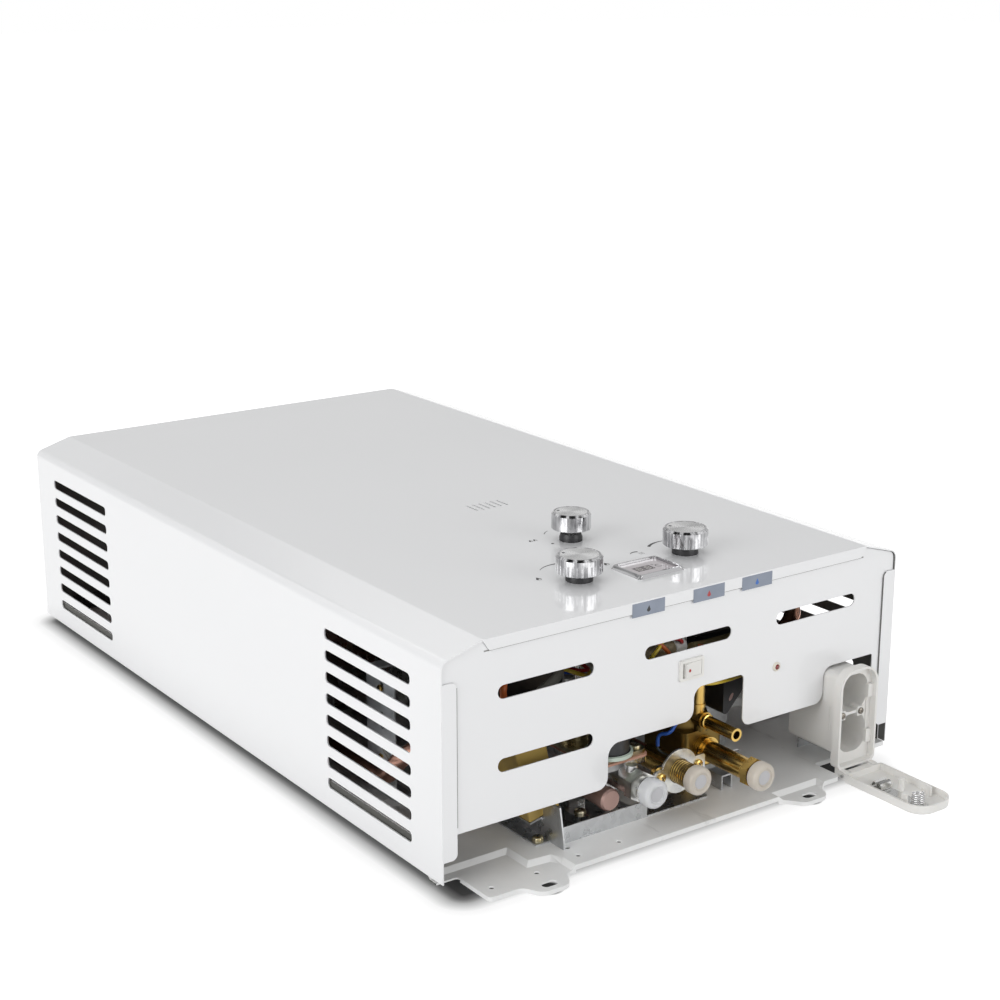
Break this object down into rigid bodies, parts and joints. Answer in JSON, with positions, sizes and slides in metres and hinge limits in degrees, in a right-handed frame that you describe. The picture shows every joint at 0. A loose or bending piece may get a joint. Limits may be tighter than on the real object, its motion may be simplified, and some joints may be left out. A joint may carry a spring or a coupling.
{
  "type": "portable gas water heater",
  "caption": "Portable instantaneous gas water heater lying on its back, with turning control knobs, a rocker switch, capped pipe ports and an open battery box.",
  "frame": {"origin": "centre of the wall face of the back plate, on the middle pressed pad", "axes": "+X to the right across the width seen from the front with the connections nearest the viewer, +Y from the connection end to the flue end, +Z from the wall out through the front cover"},
  "size_m": [0.4, 0.7663, 0.1867],
  "materials": {
    "steel_white": "silver-grey powder coat, semi-gloss",
    "galvanised": "galvanised sheet",
    "knob_metal": "polished and spun",
    "spindle_steel": "turned",
    "black_plastic": "moulded",
    "smoked_window": "clear smoked",
    "red_plastic": "translucent",
    "white_plastic": "moulded",
    "box_plastic": "moulded, off-white",
    "yellow_resin": "potted case",
    "cast_aluminium": "die cast",
    "brass": "turned and cast",
    "copper": "drawn tube and sheet copper",
    "stainless": "pressed",
    "zinc_steel": "zinc plated",
    "cap_white": "translucent polythene",
    "rubber": "moulded",
    "ceramic": "glazed",
    "wire_red": "insulated",
    "wire_yellow": "insulated",
    "wire_blue": "insulated",
    "wire_white": "insulated"
  },
  "bodies": {
    "heater": {"back_plate": "steel_white", "battery_box": "box_plastic", "box_contacts": "stainless", "burner_bars": "stainless", "burner_tray": "stainless", "cold_pipe": "copper", "combustion_chamber": "copper", "control_module": "black_plastic", "controller_bracket": "galvanised", "display_bezel": "knob_metal", "display_module": "black_plastic", "display_window": "smoked_window", "electrodes": "ceramic", "end_panel": "steel_white", "end_screws": "stainless", "flange_bolts": "zinc_steel", "flue_cap": "steel_white", "flue_hood": "galvanised", "flue_panel": "steel_white", "front_cover": "steel_white", "gas_coil": "black_plastic", "gas_gasket": "rubber", "gas_inlet": "zinc_steel", "gas_link_pipe": "cast_aluminium", "gas_manifold": "cast_aluminium", "gas_solenoid": "brass", "gas_valve_body": "cast_aluminium", "gas_valve_cover": "cast_aluminium", "heat_exchanger": "copper", "hinge_pin": "stainless", "hot_pipe": "copper", "igniter": "black_plastic", "ignition_controller": "yellow_resin", "indicator_bezel": "white_plastic", "indicator_lens": "red_plastic", "knob_collars": "black_plastic", "outlet_flange": "zinc_steel", "relief_spout": "brass", "rocker_housing": "white_plastic", "side_bracket": "galvanised", "valve_tray": "galvanised", "water_inlet_pipe": "brass", "water_outlet": "brass", "water_valve_body": "brass", "wire_blue": "wire_blue", "wire_red": "wire_red", "wire_white": "wire_white", "wire_yellow": "wire_yellow"},
    "gas_knob": {"knob_gas": "knob_metal", "spindle_gas": "spindle_steel"},
    "water_knob": {"knob_water": "knob_metal", "spindle_water": "spindle_steel"},
    "season_knob": {"knob_season": "knob_metal", "spindle_season": "spindle_steel"},
    "switch_rocker": {"rocker": "white_plastic"},
    "lid": {"battery_lid": "box_plastic", "lid_contacts": "stainless"},
    "cap_gas": {"gas_cap": "cap_white"},
    "cap_outlet": {"outlet_cap": "cap_white"},
    "cap_inlet": {"inlet_cap": "cap_white"}
  },
  "joints": [
    {"name": "gas_turn", "type": "hinge", "parent": "heater", "child": "gas_knob", "pos_m": [-0.0474, -0.261, 0.17], "axis": [0, 0, 1], "range_deg": [-176, 94]},
    {"name": "water_turn", "type": "hinge", "parent": "heater", "child": "water_knob", "pos_m": [0.052, -0.2555, 0.17], "axis": [0, 0, 1], "range_deg": [-176, 94]},
    {"name": "season_turn", "type": "hinge", "parent": "heater", "child": "season_knob", "pos_m": [0.0045, -0.184, 0.17], "axis": [0, 0, 1], "range_deg": [-86, 4]},
    {"name": "switch_rock", "type": "hinge", "parent": "heater", "child": "switch_rocker", "pos_m": [0.0046, -0.3171, 0.1073], "axis": [0, 0, 1], "range_deg": [-16, 0]},
    {"name": "lid_hinge", "type": "hinge", "parent": "heater", "child": "lid", "pos_m": [0.1478, -0.3439, 0.0039], "axis": [-1, 0, 0], "range_deg": [0, 90]},
    {"name": "gas_cap_pull", "type": "slide", "parent": "heater", "child": "cap_gas", "axis": [0, -1, 0], "range_m": [0, 0.03]},
    {"name": "outlet_cap_pull", "type": "slide", "parent": "heater", "child": "cap_outlet", "axis": [0, -1, 0], "range_m": [0, 0.025]},
    {"name": "inlet_cap_pull", "type": "slide", "parent": "heater", "child": "cap_inlet", "axis": [0, -1, 0], "range_m": [0, 0.025]}
  ]
}
